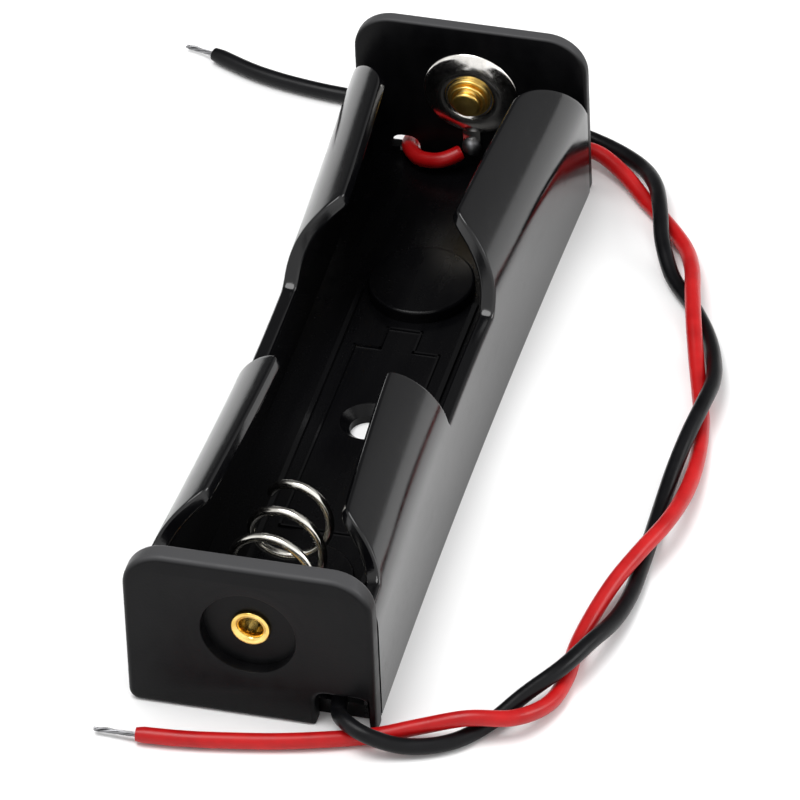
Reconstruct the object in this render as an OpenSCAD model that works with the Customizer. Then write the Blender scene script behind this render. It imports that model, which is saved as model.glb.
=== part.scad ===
// Single round-cell holder: a moulded tray with clip arms, a coil spring contact,
// a button contact and two soldered flying leads.
// Origin: centre of the tray's footprint on its base. +Y towards the button contact.

/* [Tray] */
// Length over the end plates
tray_l = 75.5; // [70:0.5:82]
// Width over the end plates
tray_w = 21; // [20:0.5:24]
// Height of the end plates
tray_h = 16; // [15:0.5:19]
// Floor thickness
floor_t = 1.5; // [1.2:0.1:2]
// Side wall thickness
wall_t = 1.3; // [1:0.1:1.6]
// Thickness of the end plate by the spring
end_t = 2; // [1.8:0.1:2.6]
// Thickness of the end plate by the button
far_end_t = 1.2; // [1:0.1:1.6]
// Radius of the end plates' upper corners
end_top_r = 3.6; // [2:0.2:4.4]
// Radius of the end plates' lower corners
end_foot_r = 1.2; // [0.6:0.2:1.6]

/* [Clip arms] */
// Height of the side walls in the middle gap
low_h = 8.6; // [7:0.2:10]
// Height of the arms' tips
arm_h = 15.7; // [14.4:0.1:16]
// Height of the walls where they meet the end plates
heel_h = 10.6; // [9.5:0.1:12]
// Length of the slope from an arm down to its end plate
heel_l = 7; // [5:0.5:9]
// Height at which the walls start to curl inwards
curl_h = 9.2; // [8.8:0.1:10]
// Outer radius of the curl
curl_r = 7.2; // [6.8:0.1:8]
// How far the curl reaches in from the wall's outer face
curl_reach = 4.2; // [3.4:0.1:4.6]
// Angle by which the walls lean inwards
lean = 2.7; // [0:0.1:3.5]
// Inward bow of the walls at mid length
bow = 0.8; // [0.3:0.05:0.9]
// Near arm: where its tip ends
near_arm_end = -9.8; // [-14:0.2:-9]
// Near arm: length of the slope to the low wall
near_slope = 2.8; // [2:0.2:4]
// Far arm: where its tip starts
far_arm_start = 12.4; // [10:0.2:16]
// Far arm: length of the slope to the low wall
far_slope = 4.6; // [3:0.2:6]

/* [Floor details] */
// Radius of the screw hole
screw_r = 1.6; // [1.3:0.1:1.8]
// Radius of the countersink's rim
sink_r = 2.5; // [2.2:0.1:3]
// Depth of the countersink
sink_d = 0.7; // [0.4:0.1:0.9]
// Radius of the two raised cell rests
rest_r = 4.7; // [3.5:0.1:5]
// Height of the rests above the floor
rest_h = 1.2; // [0.6:0.1:1.4]
// Distance of the far rest from mid length
rest_far = 18.4; // [16:0.2:22]
// Distance of the near rest from mid length
rest_near = 22.4; // [18:0.2:24]
// Width of the raised polarity outline's line
line_w = 0.35; // [0.25:0.05:0.6]
// Height of the line above the floor
line_h = 0.15; // [0.1:0.05:0.3]
// Width of the outlined cell
mark_w = 7.5; // [6:0.5:9]
// Length of the outlined cell without its nub
mark_l = 24.8; // [20:0.4:28]
// Distance of the outline's far shoulder from mid length
mark_far = 9.8; // [7:0.2:11]
// Width of the outlined nub
nub_w = 3; // [2:0.5:4]
// Length of the outlined nub
nub_l = 2.8; // [1.6:0.2:3.2]

/* [Contacts] */
// Height of the contacts' common axis
axis_h = 9; // [8:0.1:10]
// Radius of the round recess in each end plate
recess_r = 4.1; // [3.6:0.1:5]
// Depth of the recess by the spring
recess_d = 1.1; // [0.6:0.1:1.2]
// Depth of the recess by the button
far_recess_d = 0.5; // [0.5:0.1:0.6]
// Outer radius of the eyelets' shank
shank_r = 1.2; // [1:0.05:1.4]
// Wall of the eyelets' shank
shank_t = 0.3; // [0.2:0.05:0.4]
// Radius of the eyelets' rolled rim
rim_r = 1.9; // [1.7:0.1:2.2]
// Clearance of each shank in its hole
shank_gap = 0.05; // [0.03:0.01:0.1]
// Thickness of the eyelets' rolled rims
rim_t = 0.4; // [0.3:0.05:0.5]
// Radius of the rim that clamps the spring
clamp_r = 2.3; // [2.2:0.1:2.6]
// Thickness of the contact sheet metal
sheet_t = 0.3; // [0.2:0.05:0.4]
// Radius of the button contact's plate
plate_r = 4.3; // [3.8:0.1:4.4]
// Height of the plate's upturned edge
edge_h = 0.35; // [0.2:0.05:0.5]
// Length of the button contact's solder tail, from the axis
plate_tail_l = 6.1; // [6:0.1:6.4]
// Radius of the spring contact's solder tag
tag_r = 2.6; // [2.4:0.1:3.2]
// Length of that tag's tail, from the axis
tag_tail_l = 6.4; // [5.4:0.1:6.6]
// Direction of that tail, down from the right
tag_angle = 100; // [80:5:120]
// Width of both tails
tail_w = 1.6; // [1.4:0.1:2]
// Radius of the solder beads
bead_r = 0.9; // [0.7:0.05:1]
// Height of the button above its plate
button_h = 1.9; // [1.4:0.1:2.4]
// Radius of the button
button_r = 1.3; // [1:0.1:1.6]
// Wire diameter of the spring
wire_d = 0.8; // [0.6:0.05:1]
// Mean radius of the spring's widest turn
spring_base_r = 4.5; // [3.8:0.1:4.8]
// Mean radius of the spring's free end
spring_tip_r = 2.4; // [2:0.1:3]
// Free length of the spring, from the end plate
spring_l = 15.5; // [14:0.1:18]
// Open turns of the spring
turns = 3.4; // [3:0.2:4.4]
// Turn of the spring about its axis
coil_phase = 2; // [0:2:40]

/* [Leads] */
// Diameter of the leads over their insulation
lead_d = 1.4; // [1.2:0.05:1.5]
// Diameter of the bare strands
strand_d = 0.5; // [0.4:0.05:0.7]
// Width of the gap that the black lead leaves by
exit_w = 4.8; // [3.6:0.2:5]
// Distance of that gap from the side of the tray
exit_edge = 0.55; // [0.45:0.05:1]
// Width of the gap that the red lead leaves by
far_exit_w = 2.8; // [2.4:0.2:4]
// Distance of that gap from the side of the tray
far_exit_edge = 2.9; // [2.5:0.1:3.2]
// Height of both gaps
exit_h = 3.5; // [3:0.1:4]
// Radius of the gap's corners
exit_corner = 1; // [0.5:0.1:1.2]

/* [Hidden] */
$fn = 48;
lap = 0.2;
past = 1;
per_turn = 20;
play = 0.02;
button_edge = 0.25;
half_l = tray_l / 2;
half_w = tray_w / 2;
inner_y = half_l - end_t;
far_y = half_l - far_end_t;
recess_y = half_l - recess_d;
far_recess_y = half_l - far_recess_d;
foot_y = near_arm_end + near_slope;
far_foot_y = far_arm_start - far_slope;
curl_x = half_w - curl_r;
tip_x = half_w - curl_reach;
exit_x = half_w - exit_edge - exit_w / 2;
far_exit_x = half_w - far_exit_edge - far_exit_w / 2;
floor_w = tray_w - wall_t;
web_t = end_t - recess_d;
far_web_t = far_end_t - far_recess_d;
hub_r = shank_r + shank_gap + wire_d / 2 + 0.1;
coil_start = sheet_t + play + wire_d / 2;
black_plastic = [0.05, 0.05, 0.055];
nickel = [0.78, 0.78, 0.76];
brass = [0.85, 0.65, 0.25];
tin = [0.7, 0.7, 0.72];

// Centre lines of the leads, from the solder joint to the end of the insulation.
// Each passes under its end plate, lies on the surface and is twisted with the other.
red_route = [
    [-0.8, 35.6, 3.4], [-1.7, 35, 3.1], [-2.8, 34.7, 2.8], [-4.5, 35.1, 2.5], [-5.7, 36.4, 2.4],
    [-6.1, 38.1, 1.9], [-5.6, 39.8, 1.2], [-4.4, 41, 0.8], [-2.6, 41.5, 0.8],
    [0.4, 41.6, 0.8], [4.2, 41.5, 0.8], [7.4, 41.2, 1], [10.2, 40.4, 1.5], [13.1, 38.4, 1.2], [15.8, 35.6, 0.8],
    [18.5, 32.7, 0.8], [20.9, 29.5, 1], [22.4, 25.8, 1.8], [23.4, 21.9, 2.4], [24.4, 18.1, 2.4],
    [25.5, 14.4, 1.5], [26.7, 10.6, 0.9], [27.8, 6.8, 0.8], [28.5, 2.9, 0.9], [28.9, -1.1, 1.3],
    [28.9, -5.1, 1.9], [28.4, -9, 2.4], [27.2, -12.8, 2.4], [25.9, -16.5, 1.9], [25, -20.3, 1.3],
    [24.5, -24.3, 0.9], [24.6, -28.2, 0.8], [24, -32.1, 1.1], [21.9, -35.4, 2], [18.3, -36.7, 2.4],
    [14.4, -37.6, 1.5], [10.9, -38.7, 0.8], [7.2, -40, 0.8], [3.3, -41.1, 0.8], [-0.7, -41.9, 0.8],
    [-4.6, -42.5, 0.8], [-8.6, -42.8, 0.8]];
black_route = [
    [-0.2, -34.9, 3.1], [1.2, -34.4, 2.7], [2.8, -34.1, 2.4], [4.5, -34.1, 2.3], [6, -34.7, 2.3],
    [7.1, -36, 2.3], [7.5, -37.6, 1.9],
    [8.4, -39.2, 2.4], [10.4, -40.2, 2.1], [13.6, -39.8, 1.1], [17.1, -38.2, 0.8], [19.7, -35.2, 0.8],
    [22, -32, 1.7], [24.4, -28.8, 2.4], [25.9, -24.8, 2.2], [26.9, -20.9, 1.4], [27.3, -16.9, 0.9],
    [27.3, -12.9, 0.8], [27.2, -8.8, 0.8], [27.1, -4.8, 0.9], [27.2, -0.9, 1.6], [27.5, 3.1, 2.3],
    [27.8, 7.1, 2.4], [27.8, 11.1, 1.9], [26.9, 15, 1.2], [25.4, 18.7, 0.8], [23.3, 22.1, 0.8],
    [20.8, 25.3, 1], [19, 28.9, 1.9], [17.9, 32.6, 2.4], [16.6, 36.3, 2], [14.4, 39.8, 1.1],
    [11, 42.2, 0.8], [7.2, 43.6, 0.8], [3.2, 44.2, 0.8], [-1.3, 44.3, 0.8], [-6.3, 44.3, 0.8],
    [-11.8, 44.4, 0.8], [-17.3, 44.9, 0.8], [-22.3, 46, 0.8], [-26.9, 47.9, 0.8]];
red_tip = [[-8.6, -42.8, 0.8], [-10.4, -42.9, 0.7], [-12.4, -43, 0.5]];
black_tip = [[-26.9, 47.9, 0.8], [-28.5, 48.5, 0.7], [-30.2, 49.1, 0.5]];

function unit(v) = v / norm(v);
function clamp01(t) = max(0, min(1, t));
function ease(t) = t * t * (3 - 2 * t);
function steps(a, b, n) = [for (i = [0:n - 1]) a + (b - a) * i / n];

// A tube swept along a list of points, one ring to each point
module tube(route, d, sides = 8) {
    n = len(route);
    function along(i) = unit(route[min(i + 1, n - 1)] - route[max(i - 1, 0)]);
    function side(i) = unit(cross(along(i), [0, 0.001, 1]));
    function up(i) = cross(side(i), along(i));
    ring_points = [for (i = [0:n - 1]) for (k = [0:sides - 1])
        route[i] + d / 2 * (cos(360 * k / sides) * side(i) + sin(360 * k / sides) * up(i))];
    skin = [for (i = [0:n - 2]) for (k = [0:sides - 1]) let (j = (k + 1) % sides)
        [i * sides + k, i * sides + j, (i + 1) * sides + j, (i + 1) * sides + k]];
    near_cap = [[for (k = [0:sides - 1]) sides - 1 - k]];
    far_cap = [[for (k = [0:sides - 1]) (n - 1) * sides + k]];
    polyhedron(points = ring_points, faces = concat(skin, near_cap, far_cap), convexity = 6);
}

// Height of the side wall at a distance along the tray
function gap_top(y) = y < (foot_y + far_foot_y) / 2
    ? low_h + (arm_h - low_h) * ease(clamp01((foot_y - y) / near_slope))
    : low_h + (arm_h - low_h) * ease(clamp01((y - far_foot_y) / far_slope));
function to_end(y) = y < 0 ? y + inner_y : far_y - y;
function heel_top(y) = heel_h + (arm_h - heel_h) * ease(clamp01(to_end(y) / heel_l));
function wall_top(y) = min(gap_top(y), heel_top(y));
// Upper edge of both side walls, seen from the side
wall_stations = concat(
    [-inner_y - lap],
    steps(-inner_y, -inner_y + heel_l, 7),
    [-inner_y + heel_l],
    steps(near_arm_end, foot_y, 6),
    [foot_y],
    steps(far_foot_y, far_arm_start, 7),
    [far_arm_start],
    steps(far_y - heel_l, far_y, 7),
    [far_y, far_y + lap]);

module wall_silhouette() {
    polygon(concat(
        [[-inner_y - lap, -1]],
        [for (y = wall_stations) [y, wall_top(y)]],
        [[far_y + lap, -1]]));
}

// Cross-section of the right-hand wall: upright, then curled over the cell
module wall_section() {
    translate([half_w, 0]) rotate(lean) translate([-half_w, 0]) {
        translate([half_w - wall_t, -1]) square([wall_t, curl_h + 1]);
        intersection() {
            translate([curl_x, curl_h]) difference() {
                circle(curl_r);
                circle(curl_r - wall_t);
            }
            translate([tip_x, curl_h - 0.01]) square(curl_r);
        }
    }
}

// Right-hand wall at full height, bowed inwards along its length
module bowed_wall() {
    reach = max(inner_y, far_y) + lap;
    bow_r = (pow(inner_y, 2) + pow(bow, 2)) / (2 * bow);
    half_turn = asin(reach / bow_r);
    translate([bow_r + half_w - bow, 0, 0]) rotate([0, 0, 180 - half_turn])
        rotate_extrude(angle = 2 * half_turn, $fn = 1440)
            translate([bow_r + half_w, 0]) mirror([1, 0]) wall_section();
}

module side_walls() {
    intersection() {
        union() {
            bowed_wall();
            mirror([1, 0, 0]) bowed_wall();
        }
        rotate([90, 0, 90]) linear_extrude(tray_w, center = true) wall_silhouette();
        translate([-half_w, -half_l, 0]) cube([tray_w, tray_l, tray_h]);
    }
}

// Outline of an end plate: rounded more at the top than at the foot
module end_outline() {
    translate([-half_w, end_foot_r]) square([tray_w, tray_h - end_foot_r - end_top_r]);
    translate([-half_w + end_foot_r, 0]) square([tray_w - 2 * end_foot_r, tray_h / 2]);
    translate([-half_w + end_top_r, tray_h / 2]) square([tray_w - 2 * end_top_r, tray_h / 2]);
    for (s = [-1, 1]) {
        translate([s * (half_w - end_foot_r), end_foot_r]) circle(end_foot_r);
        translate([s * (half_w - end_top_r), tray_h - end_top_r]) circle(end_top_r);
    }
}

// One end plate at the -Y end, with its recess, its rivet hole and the gap for a lead
module end_plate(t, sunk, gap_x, gap_w) {
    difference() {
        translate([0, t - half_l, 0]) rotate([90, 0, 0]) linear_extrude(t) end_outline();
        translate([0, sunk - half_l, axis_h]) rotate([90, 0, 0]) cylinder(h = sunk + past, r = recess_r);
        translate([0, t - half_l + past, axis_h]) rotate([90, 0, 0])
            cylinder(h = t + 2 * past, r = shank_r + shank_gap);
        translate([gap_x, t - half_l + past, 0]) rotate([90, 0, 0])
            linear_extrude(t + 2 * past) exit_outline(gap_w);
    }
}

// Outline of the gap that a lead leaves by
module exit_outline(w) {
    side_x = w / 2 - exit_corner;
    translate([-w / 2, -past]) square([w, exit_h + past - exit_corner]);
    translate([-side_x, 0]) square([2 * side_x, exit_h]);
    for (s = [-1, 1]) translate([s * side_x, exit_h - exit_corner]) circle(exit_corner);
}

// Raised outline of a cell on the floor, its nub towards the button contact
module cell_outline() {
    near = mark_far - mark_l;
    tip = mark_far + nub_l;
    step = (mark_w - nub_w) / 2;
    tall = line_h + lap;
    translate([0, 0, floor_t - lap]) {
        for (s = [-1, 1]) {
            translate([s * mark_w / 2 - line_w / 2, near, 0]) cube([line_w, mark_l, tall]);
            translate([s * nub_w / 2 - line_w / 2, mark_far - line_w, 0]) cube([line_w, nub_l + line_w, tall]);
            translate([s * (mark_w + nub_w) / 4 - (step + line_w) / 2, mark_far - line_w, 0])
                cube([step + line_w, line_w, tall]);
        }
        translate([-(mark_w + line_w) / 2, near, 0]) cube([mark_w + line_w, line_w, tall]);
        translate([-(nub_w + line_w) / 2, tip - line_w, 0]) cube([nub_w + line_w, line_w, tall]);
    }
}

module tray() {
    color(black_plastic) difference() {
        union() {
            translate([-floor_w / 2, -inner_y, 0]) cube([floor_w, inner_y + far_y, floor_t]);
            side_walls();
            end_plate(end_t, recess_d, exit_x, exit_w);
            rotate([0, 0, 180]) end_plate(far_end_t, far_recess_d, far_exit_x, far_exit_w);
            translate([0, rest_far, floor_t - lap]) cylinder(h = rest_h + lap, r = rest_r);
            translate([0, -rest_near, floor_t - lap]) cylinder(h = rest_h + lap, r = rest_r);
            cell_outline();
        }
        translate([0, 0, -past]) cylinder(h = floor_t + 2 * past, r = screw_r);
        translate([0, 0, floor_t - sink_d]) cylinder(h = sink_d, r1 = screw_r, r2 = sink_r);
        translate([0, 0, floor_t]) cylinder(h = past, r = sink_r);
        translate([exit_x, -inner_y, 0]) rotate([90, 0, 0]) linear_extrude(end_t + past) exit_outline(exit_w);
        translate([-far_exit_x, half_l + past, 0]) rotate([90, 0, 0])
            linear_extrude(far_end_t + past) exit_outline(far_exit_w);
    }
}

// Turns a shape built along +Z so that it runs along +Y from a point on the contacts' axis
module on_axis(y) {
    translate([0, y, axis_h]) rotate([-90, 0, 0]) children();
}

// Flat solder tag: a washer with a tail that points at an angle
module tag(outer_r, tail_l, tail_w, angle) {
    linear_extrude(sheet_t) difference() {
        union() {
            circle(outer_r);
            rotate(angle) translate([0, -tail_w / 2]) square([tail_l - tail_w / 2, tail_w]);
            rotate(angle) translate([tail_l - tail_w / 2, 0]) circle(tail_w / 2);
        }
        circle(shank_r + shank_gap);
    }
}

// Hollow rivet along +Z: a rolled rim below its seat, a shank, and a rim above its stack
module eyelet(stack_l, top_r) {
    bore_r = shank_r - shank_t;
    rotate_extrude() {
        translate([bore_r, -rim_t]) square([shank_t, stack_l + 2 * rim_t]);
        translate([bore_r, -rim_t]) square([rim_r - rim_t / 2 - bore_r, rim_t]);
        translate([rim_r - rim_t / 2, -rim_t / 2]) circle(rim_t / 2);
        translate([bore_r, stack_l]) square([top_r - rim_t / 2 - bore_r, rim_t]);
        translate([top_r - rim_t / 2, stack_l + rim_t / 2]) circle(rim_t / 2);
    }
}

module negative_tag() {
    color(nickel) on_axis(-inner_y) tag(tag_r, tag_tail_l, tail_w, tag_angle);
}

// Centre line of the spring: one flat turn out from the eyelet, then a cone of open turns
function coil_radius(t) = t < 1
    ? hub_r + (spring_base_r - hub_r) * t
    : spring_base_r + (spring_tip_r - spring_base_r) * (t - 1) / turns;
function coil_rise(t) = coil_start + (spring_l - coil_start - wire_d / 2) * max(0, t - 1) / turns;
function coil_point(t) = [
    coil_radius(t) * cos(coil_phase - 360 * t),
    coil_radius(t) * sin(coil_phase - 360 * t),
    coil_rise(t)];
coil_route = [for (i = [0:(1 + turns) * per_turn]) coil_point(i / per_turn)];

module contact_spring() {
    color(nickel) on_axis(-inner_y) tube(coil_route, wire_d);
}

module negative_eyelet() {
    color(brass) on_axis(-recess_y) eyelet(web_t + sheet_t + wire_d + 2 * play, clamp_r);
}

module positive_plate() {
    flat_r = plate_r - sheet_t;
    color(nickel) on_axis(far_y) mirror([0, 0, 1]) {
        tag(flat_r, plate_tail_l, tail_w, 90);
        rotate_extrude() {
            translate([flat_r - lap, 0]) square([lap + sheet_t, sheet_t]);
            translate([flat_r, 0]) square([sheet_t, sheet_t + edge_h]);
        }
    }
}

// Hollow rivet whose inner head is drawn out into a button
module positive_eyelet() {
    seat = far_web_t + sheet_t;
    color(brass) on_axis(far_recess_y) mirror([0, 0, 1]) {
        eyelet(seat, rim_r);
        translate([0, 0, seat + rim_t - play]) rotate_extrude() {
            square([button_r - button_edge, button_h - rim_t + play]);
            square([button_r, button_h - rim_t + play - button_edge]);
            translate([button_r - button_edge, button_h - rim_t + play - button_edge]) circle(button_edge);
        }
    }
}

// A bead of solder on a tail, where a lead is joined
module solder_bead() {
    intersection() {
        sphere(bead_r);
        translate([0, 0, bead_r]) cube(2 * bead_r, center = true);
    }
}

module negative_solder() {
    reach = tag_tail_l - tail_w / 2;
    color(tin) on_axis(-inner_y + sheet_t)
        translate([reach * cos(tag_angle), reach * sin(tag_angle), 0]) solder_bead();
}

module positive_solder() {
    color(tin) on_axis(far_y - sheet_t) mirror([0, 0, 1])
        translate([0, plate_tail_l - tail_w / 2, 0]) solder_bead();
}

module red_lead() {
    color("red") tube(red_route, lead_d);
}

module red_strands() {
    color(tin) tube(red_tip, strand_d);
}

module black_lead() {
    color(black_plastic) tube(black_route, lead_d);
}

module black_strands() {
    color(tin) tube(black_tip, strand_d);
}

tray();
negative_tag();
contact_spring();
negative_eyelet();
negative_solder();
positive_plate();
positive_eyelet();
positive_solder();
red_lead();
red_strands();
black_lead();
black_strands();
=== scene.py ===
import bpy
import bmesh
import math
from mathutils import Matrix, Vector


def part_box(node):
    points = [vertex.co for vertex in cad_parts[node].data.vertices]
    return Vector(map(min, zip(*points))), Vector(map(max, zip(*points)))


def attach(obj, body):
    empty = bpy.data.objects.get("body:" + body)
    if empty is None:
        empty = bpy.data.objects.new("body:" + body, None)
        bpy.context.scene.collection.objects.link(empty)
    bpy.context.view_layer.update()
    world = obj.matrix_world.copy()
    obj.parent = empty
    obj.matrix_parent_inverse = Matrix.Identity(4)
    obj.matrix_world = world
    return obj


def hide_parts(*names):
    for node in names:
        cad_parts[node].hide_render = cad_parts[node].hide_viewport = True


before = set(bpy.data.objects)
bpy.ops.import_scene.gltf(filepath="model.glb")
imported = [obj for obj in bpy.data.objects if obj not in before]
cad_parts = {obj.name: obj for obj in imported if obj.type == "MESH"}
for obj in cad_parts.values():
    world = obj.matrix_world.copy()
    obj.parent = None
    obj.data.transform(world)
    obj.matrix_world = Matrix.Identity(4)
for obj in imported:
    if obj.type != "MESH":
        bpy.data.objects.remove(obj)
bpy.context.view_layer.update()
MM = 0.001

# ---------------------------------------------------------------- sizes, lengths in mm
_, tray_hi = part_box("tray")
HALF_L = tray_hi.y / MM
HALF_W = tray_hi.x / MM
TRAY_H = tray_hi.z / MM
FLOOR_T, WALL_T, END_T, FAR_END_T = 1.5, 1.3, 2.0, 1.2
INNER_Y = HALF_L - END_T        # the near plate's inner face is at -INNER_Y
FAR_Y = HALF_L - FAR_END_T      # the far plate's inner face
TOP_R = 3.6                     # the plates' upper corners

# LOW_H, ARM_WAY and the heels' _H are ways up along the middle of a wall. ARM_H is a height.
LOW_H, ARM_H, ARM_WAY = 8.6, 15.7, 16.5
CURL_H, CURL_R = 9.2, 7.2
NEAR_END, NEAR_SLOPE, FAR_START, FAR_SLOPE = -9.8, 2.8, 13.1, 5.8
NEAR_HEEL_H, NEAR_HEEL_Y, NEAR_HEEL_L = 11.6, -32.4, 4.9
FAR_HEEL_H, FAR_HEEL_L = 9.0, 8
WALL_EDGE_R, WALL_STEPS, EDGE_STEPS = 0.32, 28, 6
PULL_BASE, PULL_TOP = 0.5, 1.75
GROOVE_Y, GROOVE_D, GROOVE_RAMP = -INNER_Y + 0.75, 0.3, 0.04

# The photo shows the far plate and its contact a little higher than the near one's.
AXIS_H, FAR_AXIS, FAR_RISE = 9.0, 9.35, 0.35
NEAR_WIDER = 0.22
RECESS_R, RECESS_D, FAR_RECESS_D = 4.1, 1.1, 0.5
NEAR_GAP, FAR_GAP, GAP_H, GAP_R = (5.4, 10.15), (4.9, 7.5), 3.5, 1.0

HOLE_R, SINK_R = 1.6, 2.5
REST_R, REST_T, REST_EDGE, REST_YS = 4.7, 1.2, 0.3, (18.4, -22.4)
RIB_X, RIB_FROM, RIB_TO, RIB_W, RIB_T = 5.15, -33, 17, 0.6, 0.3

SHANK_R, SHANK_T, RIM_R = 1.2, 0.3, 1.9
SHEET_T = 0.3
WIRE_R, COIL_R, TIP_R, SPRING_L = 0.4, 4.5, 2.75, 15.5
TURNS, PHASE, COIL_STEPS = 3.46, 2.0, 48
TAIL_R, TAIL_TOP, TAIL_L = 0.8, -3.8, 5.3
NEAR_BEAD_R, NEAR_BEAD_ANGLE = 5.6, math.radians(100)

LEAD_R, STRAND_R = 0.7, 0.085

# ---------------------------------------------------------------- camera, first
scene = bpy.context.scene
az, el, roll = math.radians(16.34), math.radians(39.34), math.radians(-2.58)
DISTANCE, LENS, AIM_H, MOVE_RIGHT, MOVE_DOWN = 938.5, 494.7, 8, 3.0, 3.2
back = Vector((math.sin(az) * math.cos(el), -math.cos(az) * math.cos(el), math.sin(el)))
right0 = Vector((math.cos(az), math.sin(az), 0))
up0 = back.cross(right0)
right = math.cos(roll) * right0 + math.sin(roll) * up0
up = -math.sin(roll) * right0 + math.cos(roll) * up0
cam_data = bpy.data.cameras.new("camera")
cam_data.sensor_width = 36
cam_data.lens = LENS
cam_data.clip_start, cam_data.clip_end = 0.05, 20
cam = bpy.data.objects.new("camera", cam_data)
scene.collection.objects.link(cam)
place = Vector((0, 0, AIM_H)) + back * DISTANCE + right * MOVE_RIGHT - up * MOVE_DOWN
cam.matrix_world = Matrix((
    (right.x, up.x, back.x, place.x * MM),
    (right.y, up.y, back.y, place.y * MM),
    (right.z, up.z, back.z, place.z * MM),
    (0, 0, 0, 1)))
scene.camera = cam


# ---------------------------------------------------------------- materials
def map_range(tree, value, low, high, from_low, from_high):
    """A node that takes from_low..from_high of value to low..high."""
    r = tree.nodes.new("ShaderNodeMapRange")
    r.inputs["From Min"].default_value = from_low
    r.inputs["From Max"].default_value = from_high
    r.inputs["To Min"].default_value = low
    r.inputs["To Max"].default_value = high
    tree.links.new(value, r.inputs["Value"])
    return r.outputs["Result"]


def calculate(tree, operation, a, b):
    n = tree.nodes.new("ShaderNodeMath")
    n.operation = operation
    tree.links.new(a, n.inputs[0])
    tree.links.new(b, n.inputs[1])
    return n.outputs[0]


class Nodes:
    """A material and short ways to add to its node tree."""

    def __init__(self, name, color, roughness, metallic=0.0):
        self.mat = bpy.data.materials.new(name)
        self.mat.use_nodes = True
        self.tree = self.mat.node_tree
        self.bsdf = self.tree.nodes["Principled BSDF"]
        self.bsdf.inputs["Base Color"].default_value = (*color, 1)
        self.bsdf.inputs["Roughness"].default_value = roughness
        self.bsdf.inputs["Metallic"].default_value = metallic
        coords = self.tree.nodes.new("ShaderNodeTexCoord")
        self.where = coords.outputs["Object"]

    def link(self, a, b):
        self.tree.links.new(a, b)

    def noise(self, scale, detail=3.0, stretch=None, rough=0.5):
        n = self.tree.nodes.new("ShaderNodeTexNoise")
        n.inputs["Scale"].default_value = scale
        n.inputs["Detail"].default_value = detail
        n.inputs["Roughness"].default_value = rough
        if stretch:
            m = self.tree.nodes.new("ShaderNodeMapping")
            m.inputs["Scale"].default_value = stretch
            self.link(self.where, m.inputs["Vector"])
            self.link(m.outputs["Vector"], n.inputs["Vector"])
        else:
            self.link(self.where, n.inputs["Vector"])
        return n.outputs["Fac"]

    def span(self, value, low, high, from_low=0.3, from_high=0.7):
        return map_range(self.tree, value, low, high, from_low, from_high)

    def ramp(self, value, stops):
        r = self.tree.nodes.new("ShaderNodeValToRGB")
        while len(r.color_ramp.elements) < len(stops):
            r.color_ramp.elements.new(0.5)
        for e, (at, c) in zip(r.color_ramp.elements, stops):
            e.position = at
            e.color = (*c, 1)
        self.link(value, r.inputs["Fac"])
        return r.outputs["Color"]

    def add(self, a, b):
        return calculate(self.tree, "ADD", a, b)

    def bump(self, height, strength, distance):
        b = self.tree.nodes.new("ShaderNodeBump")
        b.inputs["Strength"].default_value = strength
        b.inputs["Distance"].default_value = distance
        self.link(height, b.inputs["Height"])
        self.link(b.outputs["Normal"], self.bsdf.inputs["Normal"])

    def painted_top_light(self, tone, pale):
        """Painted light from above: the tone, going to pale where a face near the tray's top looks
        up.
        """
        geometry = self.tree.nodes.new("ShaderNodeNewGeometry")
        facing = self.tree.nodes.new("ShaderNodeSeparateXYZ")
        place = self.tree.nodes.new("ShaderNodeSeparateXYZ")
        self.link(geometry.outputs["Normal"], facing.inputs["Vector"])
        self.link(geometry.outputs["Position"], place.inputs["Vector"])
        up = self.span(facing.outputs["Z"], 0.0, 1.0, 0.25, 0.8)
        high = self.span(place.outputs["Z"], 0.0, 1.0, 0.011, 0.0145)
        mix = self.tree.nodes.new("ShaderNodeMix")
        mix.data_type = "RGBA"
        self.link(calculate(self.tree, "MULTIPLY", up, high), mix.inputs[0])
        self.link(tone, mix.inputs[6])
        mix.inputs[7].default_value = (*pale, 1)
        return mix.outputs[2]

    def rough(self, value):
        self.link(value, self.bsdf.inputs["Roughness"])

    def color(self, value):
        self.link(value, self.bsdf.inputs["Base Color"])


def plastic(name, dark, light, rough_low, rough_high, grain, shine, top_light_color=None):
    """Moulded near-black plastic: fine grain, faint flow streaks and small scuffs, and a painted
    highlight on faces near the tray's top that look up when a paler colour is given.
    """
    m = Nodes(name, light, rough_high)
    m.bsdf.inputs["Specular IOR Level"].default_value = shine
    streak = m.noise(160, 4, stretch=(3.0, 0.35, 1.6))
    speck = m.noise(5200, 2)
    tone = m.ramp(streak, [(0.3, dark), (0.7, light)])
    # The paler colour on faces near the top that look up is painted light from above.
    m.color(m.painted_top_light(tone, top_light_color) if top_light_color else tone)
    scuff = m.noise(900, 5, rough=0.65)
    m.rough(m.add(m.span(streak, rough_low, rough_high),
                  m.span(scuff, 0.0, 0.07, 0.52, 0.75)))
    m.bump(m.add(speck, m.span(streak, 0.0, 1.2)), grain, 0.00002)
    return m.mat


def metal(name, dark, light, rough_low, rough_high, grain=0.15):
    """Plated or bare metal: a fine grain, a little tarnish."""
    m = Nodes(name, light, rough_high, 1.0)
    tarnish = m.noise(700, 4)
    fine = m.noise(4200, 3)
    m.color(m.ramp(tarnish, [(0.3, dark), (0.65, light)]))
    m.rough(m.add(m.span(fine, rough_low, rough_high), m.span(tarnish, 0.05, 0.0)))
    m.bump(fine, grain, 0.00001)
    return m.mat


def insulation(name, dark, light, rough_low, rough_high, shine):
    """Soft extruded insulation: a slight waviness and a satin skin."""
    m = Nodes(name, light, rough_high)
    wave = m.noise(420, 3)
    fine = m.noise(3600, 2)
    m.color(m.ramp(wave, [(0.3, dark), (0.7, light)]))
    m.rough(m.span(wave, rough_low, rough_high))
    m.bump(m.add(m.span(wave, 0.0, 2.0), fine), 0.2, 0.00003)
    m.bsdf.inputs["Specular IOR Level"].default_value = shine
    return m.mat


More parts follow.
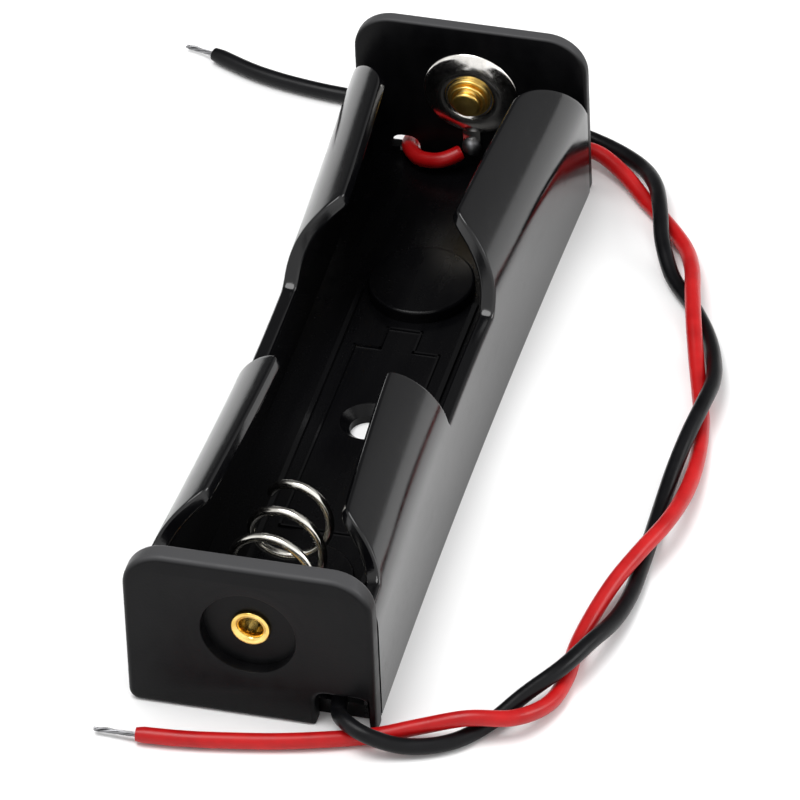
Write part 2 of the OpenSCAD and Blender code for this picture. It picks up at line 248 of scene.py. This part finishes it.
MAT_TRAY = plastic("moulded_black", (0.0015, 0.0015, 0.002), (0.003, 0.003, 0.0035),
                   0.10, 0.17, 0.18, 0.42)
# The end plates' last colour is painted light: faces near the tray's top that look up are made
# paler, as light from above would make them.
MAT_END = plastic("moulded_black_matt", (0.002, 0.002, 0.0025), (0.004, 0.004, 0.0045),
                  0.34, 0.44, 0.5, 0.12, (0.056, 0.056, 0.058))
MAT_BED = plastic("moulded_black_bed", (0.0015, 0.0015, 0.002), (0.003, 0.003, 0.0035),
                  0.2, 0.3, 0.3, 0.14)
MAT_SPRING = metal("nickel_wire", (0.62, 0.6, 0.55), (0.88, 0.86, 0.8), 0.1, 0.2)
MAT_NICKEL = metal("nickel_sheet", (0.66, 0.64, 0.6), (0.9, 0.88, 0.84), 0.1, 0.2)
MAT_BRASS = metal("brass", (0.72, 0.46, 0.1), (0.95, 0.7, 0.24), 0.1, 0.2)
MAT_BUTTON = metal("brass_button", (0.66, 0.42, 0.09), (0.9, 0.64, 0.2), 0.26, 0.36)
MAT_SOLDER = metal("solder", (0.1, 0.1, 0.105), (0.18, 0.18, 0.185), 0.35, 0.48, 0.4)
MAT_STRANDS = metal("tinned_strands", (0.16, 0.16, 0.165), (0.3, 0.3, 0.31), 0.25, 0.4)
MAT_RED = insulation("red_insulation", (0.36, 0.003, 0.004), (0.5, 0.006, 0.007), 0.28, 0.4, 0.3)
MAT_BLACK = insulation("black_insulation", (0.002, 0.002, 0.0025), (0.004, 0.004, 0.005),
                       0.28, 0.4, 0.16)


# ---------------------------------------------------------------- helpers
def new_object(name, mesh, mats, slot, body="root", sharp=35):
    """A piece of the object. Edges sharper than sharp degrees stay crisp."""
    mesh.name = name
    for m in mats if isinstance(mats, (list, tuple)) else [mats]:
        mesh.materials.append(m)
    for p in mesh.polygons:
        p.use_smooth = True
    mesh.set_sharp_from_angle(angle=math.radians(sharp))
    o = bpy.data.objects.new(name, mesh)
    scene.collection.objects.link(o)
    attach(o, body)
    return o


def mesh_from(verts, faces):
    me = bpy.data.meshes.new("m")
    me.from_pydata([Vector(v) * MM for v in verts], [], faces)
    me.validate()
    return me


def mend(me, merge=None):
    """Turns the faces outward, after points closer than merge metres are made one."""
    bm = bmesh.new()
    bm.from_mesh(me)
    if merge:
        bmesh.ops.remove_doubles(bm, verts=bm.verts, dist=merge)
    bmesh.ops.recalc_face_normals(bm, faces=bm.faces)
    bm.to_mesh(me)
    bm.free()
    return me


def revolve(profile, origin, out, seg=96):
    """A closed profile of (radius, distance along the axis), turned about the axis from origin."""
    out = Vector(out)
    side = out.orthogonal().normalized()
    other = out.cross(side)
    n = len(profile)
    verts, faces = [], []
    for k in range(seg):
        a = 2 * math.pi * k / seg
        ray = math.cos(a) * side + math.sin(a) * other
        verts += [Vector(origin) + out * d + ray * r for r, d in profile]
    for k in range(seg):
        j = (k + 1) % seg
        faces += [(k * n + i, j * n + i, j * n + (i + 1) % n, k * n + (i + 1) % n)
                  for i in range(n)]
    return mend(mesh_from(verts, faces), 1e-7)


def arc(cx, cy, r, a0, a1, n=8):
    """Points on an arc from a0 to a1 degrees, in n steps."""
    return [(cx + r * math.cos(math.radians(a0 + (a1 - a0) * i / n)),
             cy + r * math.sin(math.radians(a0 + (a1 - a0) * i / n))) for i in range(n + 1)]


def arc_back(*args):
    return arc(*args)[::-1]


def plate(loops, depth, bevel, to_world):
    """A flat plate of the loops, depth thick, its edges rounded, put in place by to_world."""
    cu = bpy.data.curves.new("c", "CURVE")
    cu.dimensions = "2D"
    cu.fill_mode = "BOTH"
    cu.extrude = (depth / 2 - bevel) * MM
    cu.bevel_depth = bevel * MM
    cu.bevel_resolution = 4
    cu.offset = -bevel * MM
    for loop in loops:
        sp = cu.splines.new("POLY")
        sp.points.add(len(loop) - 1)
        for p, (x, y) in zip(sp.points, loop):
            p.co = (x * MM, y * MM, 0, 1)
        sp.use_cyclic_u = True
    o = bpy.data.objects.new("c", cu)
    scene.collection.objects.link(o)
    bpy.context.view_layer.update()
    me = bpy.data.meshes.new_from_object(o.evaluated_get(bpy.context.evaluated_depsgraph_get()))
    bpy.data.objects.remove(o)
    for v in me.vertices:
        v.co = Vector(to_world(v.co.x / MM, v.co.y / MM, v.co.z / MM)) * MM
    return mend(me, 1e-6)


def join(name, meshes, mats, **kw):
    """One piece of several meshes, each given with the index of its material."""
    bm = bmesh.new()
    for me, slot_index in meshes:
        start = len(bm.faces)
        bm.from_mesh(me)
        bm.faces.ensure_lookup_table()
        for f in bm.faces[start:]:
            f.material_index = slot_index
    me = bpy.data.meshes.new(name)
    bm.to_mesh(me)
    bm.free()
    return new_object(name, me, mats, **kw)


# ---------------------------------------------------------------- the leads, next
# The routes' points are those of part.scad.
RED_ROUTE = [
    (-0.8, 35.6, 3.4), (-1.7, 35, 3.1), (-2.8, 34.7, 2.8), (-4.5, 35.1, 2.5), (-5.7, 36.4, 2.4),
    (-6.1, 38.1, 1.9), (-5.6, 39.8, 1.2), (-4.4, 41, 0.8), (-2.6, 41.5, 0.8),
    (0.4, 41.6, 0.8), (4.2, 41.5, 0.8), (7.4, 41.2, 1), (10.2, 40.4, 1.5),
    (13.1, 38.4, 1.2), (15.8, 35.6, 0.8),
    (18.5, 32.7, 0.8), (20.9, 29.5, 1), (22.4, 25.8, 1.8), (23.4, 21.9, 2.4), (24.4, 18.1, 2.4),
    (25.5, 14.4, 1.5), (26.7, 10.6, 0.9), (27.8, 6.8, 0.8), (28.5, 2.9, 0.9), (28.9, -1.1, 1.3),
    (28.9, -5.1, 1.9), (28.4, -9, 2.4), (27.2, -12.8, 2.4), (25.9, -16.5, 1.9), (25, -20.3, 1.3),
    (24.5, -24.3, 0.9), (24.6, -28.2, 0.8), (24, -32.1, 1.1), (21.9, -35.4, 2), (18.3, -36.7, 2.4),
    (14.4, -37.6, 1.5), (10.9, -38.7, 0.8), (7.2, -40, 0.8), (3.3, -41.1, 0.8), (-0.7, -41.9, 0.8),
    (-4.6, -42.5, 0.8), (-8.6, -42.8, 0.8)]
BLACK_ROUTE = [
    (-0.2, -34.9, 3.1), (1.2, -34.4, 2.7), (2.8, -34.1, 2.4), (4.5, -34.1, 2.3), (6, -34.7, 2.3),
    (7.1, -36, 2.3), (7.5, -37.6, 1.9),
    (8.4, -39.2, 2.4), (10.4, -40.2, 2.1), (13.6, -39.8, 1.1), (17.1, -38.2, 0.8),
    (19.7, -35.2, 0.8),
    (22, -32, 1.7), (24.4, -28.8, 2.4), (25.9, -24.8, 2.2), (26.9, -20.9, 1.4), (27.3, -16.9, 0.9),
    (27.3, -12.9, 0.8), (27.2, -8.8, 0.8), (27.1, -4.8, 0.9), (27.2, -0.9, 1.6), (27.5, 3.1, 2.3),
    (27.8, 7.1, 2.4), (27.8, 11.1, 1.9), (26.9, 15, 1.2), (25.4, 18.7, 0.8), (23.3, 22.1, 0.8),
    (20.8, 25.3, 1), (19, 28.9, 1.9), (17.9, 32.6, 2.4), (16.6, 36.3, 2), (14.4, 39.8, 1.1),
    (11, 42.2, 0.8), (7.2, 43.6, 0.8), (3.2, 44.2, 0.8), (-1.3, 44.3, 0.8), (-6.3, 44.3, 0.8),
    (-11.8, 44.4, 0.8), (-17.3, 44.9, 0.8), (-22.3, 46, 0.8), (-26.9, 47.9, 0.8)]


def smooth_path(points, per=6):
    """Points on a smooth curve through the given ones (centripetal Catmull-Rom)."""
    pts = [Vector(p) for p in points]
    pts = [2 * pts[0] - pts[1]] + pts + [2 * pts[-1] - pts[-2]]
    out = []
    for i in range(1, len(pts) - 2):
        p0, p1, p2, p3 = pts[i - 1:i + 3]
        t0 = 0.0
        t1 = t0 + (p1 - p0).length ** 0.5
        t2 = t1 + (p2 - p1).length ** 0.5
        t3 = t2 + (p3 - p2).length ** 0.5
        for k in range(per):
            t = t1 + (t2 - t1) * k / per
            a1 = (t1 - t) / (t1 - t0) * p0 + (t - t0) / (t1 - t0) * p1
            a2 = (t2 - t) / (t2 - t1) * p1 + (t - t1) / (t2 - t1) * p2
            a3 = (t3 - t) / (t3 - t2) * p2 + (t - t2) / (t3 - t2) * p3
            b1 = (t2 - t) / (t2 - t0) * a1 + (t - t0) / (t2 - t0) * a2
            b2 = (t3 - t) / (t3 - t1) * a2 + (t - t1) / (t3 - t1) * a3
            out.append((t2 - t) / (t2 - t1) * b1 + (t - t1) / (t2 - t1) * b2)
    out.append(pts[-2])
    return out


def swept(path, radius, sides):
    """A round tube along the path. radius is a number or a function of the share of its points."""
    n = len(path)
    verts, faces = [], []
    tangent = [(path[min(i + 1, n - 1)] - path[max(i - 1, 0)]).normalized() for i in range(n)]
    normal = tangent[0].orthogonal().normalized()
    for i in range(n):
        normal = (normal - tangent[i] * normal.dot(tangent[i])).normalized()
        other = tangent[i].cross(normal)
        r = radius(i / (n - 1)) if callable(radius) else radius
        for k in range(sides):
            a = 2 * math.pi * k / sides
            verts.append(path[i] + r * (math.cos(a) * normal + math.sin(a) * other))
    for i in range(n - 1):
        for k in range(sides):
            j = (k + 1) % sides
            faces.append((i * sides + k, i * sides + j, (i + 1) * sides + j, (i + 1) * sides + k))
    faces.append(tuple(reversed(range(sides))))
    faces.append(tuple((n - 1) * sides + k for k in range(sides)))
    return mesh_from(verts, faces)


def strands(name, start, direction, length, node):
    """A small bundle of tinned wires, laid in a loose twist, one standing a little apart."""
    reaches = (1, 0.94, 0.97, 0.9, 0.98, 0.93, 0.96)
    middle_wire, loose_wire, around = 6, 2, 6
    steps, twist, buried, droop = 24, 2.2 * math.pi, 0.5, 0.28
    d = Vector(direction).normalized()
    side = d.cross(Vector((0, 0, 1))).normalized()
    lift = side.cross(d)
    parts = []
    for k, reach in enumerate(reaches):
        a0 = 2 * math.pi * k / around
        spread = 0.0 if k == middle_wire else 0.15
        path = []
        for i in range(steps + 1):
            t = i / steps
            a = a0 + twist * t
            fan = spread * (1 - 0.25 * t) + (0.12 * t * t if k == loose_wire else 0)
            path.append(Vector(start) + d * (length * reach * t - buried)
                        + fan * (math.cos(a) * side + math.sin(a) * lift)
                        - Vector((0, 0, droop * t)))
        parts.append((swept(path, STRAND_R, 8), 0))
    o = join(name, parts, [MAT_STRANDS], slot="tinned_strands")
    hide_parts(node)
    return o


red_path = smooth_path(RED_ROUTE)
black_path = smooth_path(BLACK_ROUTE)


def lead(name, path, node, mat, slot):
    """One lead, narrowed a little at both ends."""
    def radius(t):
        return LEAD_R - 0.12 * max(0.0, 1 - t * 400) - 0.1 * max(0.0, 1 - (1 - t) * 260)

    o = new_object(name, swept(path, radius, 20), mat, slot=slot, sharp=50)
    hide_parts(node)


red_tip = strands("strands_red", RED_ROUTE[-1], (-3.8, 0.25, -0.05), 4.3, "red_strands")
black_tip = strands("strands_black", BLACK_ROUTE[-1], (-3.3, 1.2, -0.12), 3.6, "black_strands")
lead("lead_red", red_path, "red_lead", MAT_RED, "red_insulation")
lead("lead_black", black_path, "black_lead", MAT_BLACK, "black_insulation")


# ---------------------------------------------------------------- the tray
def ease(t):
    """0 up to t = 0, 1 from t = 1, and smooth between."""
    t = max(0.0, min(1.0, t))
    return t * t * (3 - 2 * t)


def wall_top(y):
    """How far the wall goes up along its middle, at y."""
    if y < 0:
        gap = LOW_H + (ARM_WAY - LOW_H) * ease((NEAR_END + NEAR_SLOPE - y) / NEAR_SLOPE)
        heel = NEAR_HEEL_H + (ARM_WAY - NEAR_HEEL_H) * ease((y - NEAR_HEEL_Y) / NEAR_HEEL_L)
    else:
        gap = LOW_H + (ARM_WAY - LOW_H) * ease((y - FAR_START + FAR_SLOPE) / FAR_SLOPE)
        share = max(0, min(1, (FAR_Y - y) / FAR_HEEL_L))
        heel = FAR_HEEL_H + (ARM_WAY - FAR_HEEL_H) * math.sin(math.pi / 2 * share)
    return min(gap, heel)


CURL_X = HALF_W - CURL_R
MID_R = CURL_R - WALL_T / 2


def section(h):
    """Middle of the wall at a way h up along it: place, tangent and outward normal."""
    if h < CURL_H:
        return Vector((HALF_W - WALL_T / 2, h)), Vector((0, 1)), Vector((1, 0))
    a = (h - CURL_H) / MID_R
    return (Vector((CURL_X + MID_R * math.cos(a), CURL_H + MID_R * math.sin(a))),
            Vector((-math.sin(a), math.cos(a))), Vector((math.cos(a), math.sin(a))))


def pull_in(y, z):
    """How far the wall is bowed in, at y and the height z."""
    f = max(0.0, 1 - (y / INNER_Y) ** 2)
    share = z / ARM_H
    return PULL_BASE * f * (1 - share) + PULL_TOP * f ** 1.5 * share


def wall(side):
    """One side wall with its two arms, side is 1 for the right one and -1 for the left one."""
    stations = []
    y = -INNER_Y - 0.1
    while y < FAR_Y + 0.1:
        stations.append(y)
        near = NEAR_END - 0.5 < y < NEAR_END + NEAR_SLOPE + 0.3
        far = FAR_START - FAR_SLOPE - 0.3 < y < FAR_START + 0.4
        y += 0.1 if near or far else (0.25 if abs(y) > INNER_Y - 9 else 0.7)
    stations += [FAR_Y + 0.1, GROOVE_Y, GROOVE_Y + GROOVE_RAMP]
    stations.sort()
    rows = []
    edge = WALL_EDGE_R
    half = WALL_T / 2
    for y in stations:
        top = wall_top(y)
        outer = half - (GROOVE_D if y <= GROOVE_Y else 0.0)
        spots = [section((top - edge) * i / WALL_STEPS) for i in range(WALL_STEPS + 1)]
        ring = [c + n * outer for c, _, n in spots]
        c, t, n = spots[-1]
        for i in range(1, EDGE_STEPS + 1):
            a = math.pi / 2 * i / EDGE_STEPS
            ring.append(c + n * (outer - edge) + edge * (math.cos(a) * n + math.sin(a) * t))
        for i in range(EDGE_STEPS):
            a = math.pi / 2 * i / EDGE_STEPS
            ring.append(c - n * (half - edge) + edge * (-math.sin(a) * n + math.cos(a) * t))
        ring += [c - n * half for c, _, n in reversed(spots)]
        rows.append([(side * (p.x - pull_in(y, p.y)), y, p.y) for p in ring])
    n = len(rows[0])
    verts = [v for r in rows for v in r]
    faces = [(i * n + k, (i + 1) * n + k, (i + 1) * n + (k + 1) % n, i * n + (k + 1) % n)
             for i in range(len(rows) - 1) for k in range(n)]
    faces += [tuple(range(n)), tuple((len(rows) - 1) * n + k for k in reversed(range(n)))]
    return mend(mesh_from(verts, faces))


def end_outline(w, h, gap, foot_left, foot_right):
    """An end plate seen from outside, the gap that a lead leaves by on its right."""
    gap_lo, gap_hi = gap
    pts = [(gap_lo, 0)]
    pts += arc_back(-w + foot_left, foot_left, foot_left, 180, 270)
    pts += arc_back(-w + TOP_R, h - TOP_R, TOP_R, 90, 180, 14)
    pts += arc_back(w - TOP_R, h - TOP_R, TOP_R, 0, 90, 14)
    pts += arc_back(w - foot_right, foot_right, foot_right, 270, 360, 5)
    pts += [(gap_hi, 0)]
    pts += arc(gap_hi - GAP_R, GAP_H - GAP_R, GAP_R, 0, 90, 5)
    pts += arc(gap_lo + GAP_R, GAP_H - GAP_R, GAP_R, 90, 180, 5)
    return pts


def end_plate(s, outline, thick, sunk, soft, axis):
    """A plate with a recess, s is -1 for the near one and 1 for the far one.

    soft is the radius of its edges. Where that is large, the recess gets a crisp rim of its own.
    """
    middle = HALF_L - thick / 2

    def put(x, y, z):
        return (-s * x, s * (middle + z), y)

    lip = 0.6 if soft > 0.4 else 0.0
    opening = arc(0, axis, RECESS_R + lip, 0, 360, 96)[:-1]
    face = plate([outline, opening[::-1]], thick, soft, put)
    hole, web = SHANK_R + 0.05, thick - sunk
    back = revolve([(hole, 0.0), (RECESS_R + 0.5, 0.0), (RECESS_R + 0.5, web),
                    (hole + 0.1, web), (hole, web - 0.1)],
                   (0, s * (HALF_L - thick + 0.005), axis), (0, s, 0))
    if not lip:
        return [face, back]
    r, out = RECESS_R, RECESS_R + lip + soft + 0.1
    ring = revolve([(r, sunk + 0.2), (r, 0.12), (r + 0.04, 0.04), (r + 0.12, 0.003),
                    (out, 0.003), (out, sunk + 0.2)], (0, s * HALF_L, axis), (0, -s, 0))
    return [face, back, ring]


def floor_pieces():
    """The floor, the screw hole's countersink and the two round rests for the cell."""
    w = HALF_W - WALL_T + 0.3
    hole = arc(0, 0, SINK_R, 0, 360, 64)[:-1][::-1]
    near, far = -INNER_Y - 0.1, FAR_Y + 0.1
    slab = plate([[(-w, near), (w, near), (w, far), (-w, far)], hole],
                 FLOOR_T, 0.01, lambda x, y, z: (x, y, z + FLOOR_T / 2))
    sink = revolve([(HOLE_R, 0.02), (SINK_R + 0.05, 0.02), (SINK_R + 0.05, FLOOR_T - 0.02),
                    (SINK_R - 0.08, FLOOR_T - 0.005), (HOLE_R + 0.08, FLOOR_T - 0.66),
                    (HOLE_R, FLOOR_T - 0.74)], (0, 0, 0), (0, 0, 1))
    rest = [(0.001, -0.2), (REST_R, -0.2), (REST_R, REST_T - REST_EDGE)]
    rest += arc(REST_R - REST_EDGE, REST_T - REST_EDGE, REST_EDGE, 0, 90, 5)[1:]
    rest += [(0.001, REST_T)]
    return [slab, sink] + [revolve(rest, (0, y, FLOOR_T), (0, 0, 1), 80) for y in REST_YS]


def line(x0, y0, x1, y1, width=0.35, tall=0.16):
    """One low raised line on the floor, with sloping sides."""
    a, b = Vector((x0, y0, 0)), Vector((x1, y1, 0))
    d = (b - a).normalized()
    n = Vector((-d.y, d.x, 0))
    a, b = a - d * width / 2, b + d * width / 2
    verts = []
    for out, z in ((width / 2, -0.05), (width / 2 - 0.08, tall)):
        grow = d * (0 if z < 0 else -0.08)
        verts += [v + Vector((0, 0, FLOOR_T + z)) for v in
                  (a - n * out - grow, b - n * out + grow, b + n * out + grow, a + n * out - grow)]
    faces = [(4, 5, 6, 7)] + [(i, (i + 1) % 4, 4 + (i + 1) % 4, 4 + i) for i in range(4)]
    return mesh_from(verts, faces)


cell = [(-3.75, -15), (3.75, -15), (3.75, 9.8), (1.5, 9.8),
        (1.5, 12.6), (-1.5, 12.6), (-1.5, 9.8), (-3.75, 9.8)]
lines = [line(*a, *b) for a, b in zip(cell, cell[1:] + cell[:1])]
lines += [line(s * RIB_X, RIB_FROM, s * RIB_X, RIB_TO, RIB_W, RIB_T) for s in (-1, 1)]

sides = [wall(1), wall(-1)]
bed = floor_pieces()
# A step at the foot of the far gap, so that less of the ground shows through it: a dark piece that
# stands in for the shade in the gap, as painted shade. It is only for
# the look: the photo shows no such step.
sill = plate([[(-7.6, 0.02), (-4.8, 0.02), (-4.8, 1.1), (-6.72, 1.1), (-6.72, 2.25), (-7.6, 2.25)]],
             FAR_END_T - 0.2, 0.02, lambda x, y, z: (x, FAR_Y + FAR_END_T / 2 + z, y))
near_outline = end_outline(HALF_W + NEAR_WIDER, TRAY_H, NEAR_GAP, 1.0, 0.3)
far_outline = end_outline(HALF_W, TRAY_H + FAR_RISE, FAR_GAP, 0.35, 0.6)
ends = end_plate(-1, near_outline, END_T, RECESS_D, 0.5, AXIS_H)
ends += end_plate(1, far_outline, FAR_END_T, FAR_RECESS_D, 0.3, FAR_AXIS)
moulded = [(m, 0) for m in sides + lines] + [(m, 1) for m in ends + [sill]] + [(m, 2) for m in bed]
tray = join("tray_moulding", moulded, [MAT_TRAY, MAT_END, MAT_BED], slot="tray_plastic", sharp=32)
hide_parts("tray")


# ---------------------------------------------------------------- contacts
# The spring's first turn lies flat and winds out from the eyelet, and the rest is a cone.
coil = []
hub = SHANK_R + 0.05 + WIRE_R + 0.1
start = SHEET_T + 0.02 + WIRE_R
for i in range(int((1 + TURNS) * COIL_STEPS) + 1):
    t = i / COIL_STEPS
    r = hub + (COIL_R - hub) * t if t < 1 else COIL_R + (TIP_R - COIL_R) * (t - 1) / TURNS
    rise = start + (SPRING_L - start - WIRE_R) * max(0, t - 1) / TURNS
    a = math.radians(PHASE - 360 * t)
    coil.append(Vector((r * math.cos(a), -INNER_Y + rise, AXIS_H - r * math.sin(a))))


def wire_radius(t):
    return WIRE_R - 0.1 * max(0.0, 1 - (1 - t) * 300) - 0.1 * max(0.0, 1 - t * 300)


spring = new_object("spring_wire", swept(coil, wire_radius, 18), MAT_SPRING, slot="spring_steel")
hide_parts("contact_spring")


# The near eyelet's profile runs out along its flared mouth, round the rim, and up the shank to the
# clinched end over the spring's flat turn. The bore is open all the way.
bore = SHANK_R - SHANK_T
stack, clinch_r, roll = END_T - RECESS_D + SHEET_T + 0.84, 2.3, 0.4
prof = [(bore, 0.5), (bore + 0.04, 0.2), (bore + 0.12, -0.08), (bore + 0.22, -0.26),
        (bore + 0.34, -0.37)]
prof += arc(RIM_R - 0.42, -0.18, 0.24, -90, 0, 6)[1:]
prof += [(RIM_R - 0.2, -0.06), (RIM_R - 0.24, 0.0), (SHANK_R, 0.0), (SHANK_R, stack)]
prof += [(clinch_r - 0.2, stack)] + arc(clinch_r - 0.2, stack + 0.2, 0.2, -80, 80, 6)
prof += [(bore + 0.25, stack + roll), (bore, stack + roll - 0.25)]
near_eyelet = new_object("eyelet_near", revolve(prof, (0, -(HALF_L - RECESS_D), AXIS_H), (0, 1, 0)),
                         MAT_BRASS, slot="brass_eyelet")
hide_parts("negative_eyelet")

# The button's profile runs down its steps from the tip, then through the plate to the outer rim,
# and back up inside.
seat = FAR_END_T - FAR_RECESS_D + SHEET_T
prof = [(0.0, seat + 1.7), (0.4, seat + 1.68), (0.75, seat + 1.62)]
prof += arc_back(0.98, seat + 1.36, 0.25, -10, 90, 8)
prof += [(1.16, seat + 1.2), (1.12, seat + 1.0)]
prof += arc_back(1.42, seat + 0.83, 0.17, -70, 160, 8)
prof += [(1.36, seat + 0.62)] + arc_back(1.74, seat + 0.4, 0.2, -80, 120, 8)
prof += [(SHANK_R, seat), (SHANK_R, 0.0), (RIM_R - 0.2, 0.0)]
prof += arc_back(RIM_R - 0.2, -0.2, 0.2, -90, 80, 7)
prof += [(0.9, -0.4), (0.9, seat + 0.4), (0.0, seat + 0.4)]
button = revolve(prof, (0, HALF_L - FAR_RECESS_D, FAR_AXIS), (0, -1, 0))
far_eyelet = new_object("eyelet_button", button, MAT_BUTTON, slot="brass_eyelet")
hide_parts("positive_eyelet")

# The nickel plate is domed: out along its back, round its edge, and in over its front.
rim = [(1.25, 0.3), (2.5, 0.3), (3.4, 0.2), (4.1, 0.0), (4.22, 0.0), (4.3, 0.07), (4.26, 0.16),
       (4.0, 0.32), (3.7, 0.47), (3.4, 0.6), (3.1, 0.7), (2.85, 0.76), (2.6, 0.78), (2.35, 0.76),
       (2.2, 0.7), (2.1, 0.62), (1.25, 0.6)]
disc = revolve(rim, (0, FAR_Y, FAR_AXIS), (0, -1, 0))
tail_y = AXIS_H - TAIL_L - FAR_AXIS
tongue = [(-TAIL_R, TAIL_TOP), (-TAIL_R, tail_y)] + arc(0, tail_y, TAIL_R, 180, 360, 10)[1:]
tail = plate([tongue + [(TAIL_R, TAIL_TOP)]], SHEET_T, 0.06,
             lambda x, y, z: (x, FAR_Y - SHEET_T / 2 + z, FAR_AXIS + y))
contact = join("button_plate", [(disc, 0), (tail, 0)], [MAT_NICKEL], slot="nickel_sheet")
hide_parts("positive_plate")


def bead(name, x, z, s, seat_y, node):
    """A dome of solder, a little wider at its foot."""
    prof = [(0.0, 0.86), (0.25, 0.83), (0.48, 0.72), (0.66, 0.55), (0.79, 0.36), (0.87, 0.16),
            (0.9, 0.0), (0.0, 0.0)]
    dome = revolve(prof, (x, s * seat_y, z), (0, -s, 0), 40)
    o = new_object(name, dome, MAT_SOLDER, slot="solder")
    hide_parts(node)


bead("bead_far", 0, AXIS_H - TAIL_L, 1, FAR_Y - SHEET_T, "positive_solder")
bead("bead_near", NEAR_BEAD_R * math.cos(NEAR_BEAD_ANGLE),
     AXIS_H - NEAR_BEAD_R * math.sin(NEAR_BEAD_ANGLE), -1, INNER_Y - SHEET_T, "negative_solder")

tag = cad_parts["negative_tag"]
tag.data.materials.clear()
tag.data.materials.append(MAT_NICKEL)

# ---------------------------------------------------------------- floor and light
bpy.ops.mesh.primitive_plane_add(size=6)
ground = bpy.context.object
ground.name = "ground"
ground_mat = Nodes("paper", (0.92, 0.92, 0.92), 0.9)
ground_mat.bump(ground_mat.noise(300, 3), 0.05, 0.0001)
ground.data.materials.append(ground_mat.mat)

# The sky lights everything evenly. What glossy faces mirror is a second, dimmer sky, which gets
# brighter towards +X and -Y, as a studio with soft boxes there would be. It is fixed to the world.
world = bpy.data.worlds.new("studio")
scene.world = world
world.use_nodes = True
tree = world.node_tree
sky = tree.nodes["Background"]
sky.inputs["Color"].default_value = (1, 1, 1, 1)
sky.inputs["Strength"].default_value = 0.75
dim = tree.nodes.new("ShaderNodeBackground")
dim.inputs["Color"].default_value = (1, 1, 1, 1)
rays = tree.nodes.new("ShaderNodeLightPath")
coords = tree.nodes.new("ShaderNodeTexCoord")
split = tree.nodes.new("ShaderNodeSeparateXYZ")
tree.links.new(coords.outputs["Generated"], split.inputs["Vector"])
across = map_range(tree, split.outputs["X"], 0.13, 0.5, -0.1, 0.45)
forward = map_range(tree, split.outputs["Y"], 0.0, 0.9, 0.3, -0.3)
blend = tree.nodes.new("ShaderNodeMixShader")
tree.links.new(calculate(tree, "ADD", across, forward), dim.inputs["Strength"])
tree.links.new(rays.outputs["Is Glossy Ray"], blend.inputs["Fac"])
tree.links.new(sky.outputs["Background"], blend.inputs[1])
tree.links.new(dim.outputs["Background"], blend.inputs[2])
tree.links.new(blend.outputs["Shader"], tree.nodes["World Output"].inputs["Surface"])


def softbox(name, place, aim, size, power):
    """A rectangular area light at place that shines towards aim, in metres and watts."""
    data = bpy.data.lights.new(name, "AREA")
    data.shape = "RECTANGLE"
    data.size, data.size_y = size
    data.energy = power
    o = bpy.data.objects.new(name, data)
    scene.collection.objects.link(o)
    o.location = place
    o.rotation_mode = "QUATERNION"
    o.rotation_quaternion = (Vector(aim) - Vector(place)).to_track_quat("-Z", "Y")


softbox("key", (-0.13, -0.1, 0.58), (0, 0, 0), (0.35, 0.35), 2.5)
softbox("side", (0.5, 0.15, 0.28), (0, 0, 0.01), (0.3, 0.25), 1.3)
scene.view_settings.view_transform = "Standard"
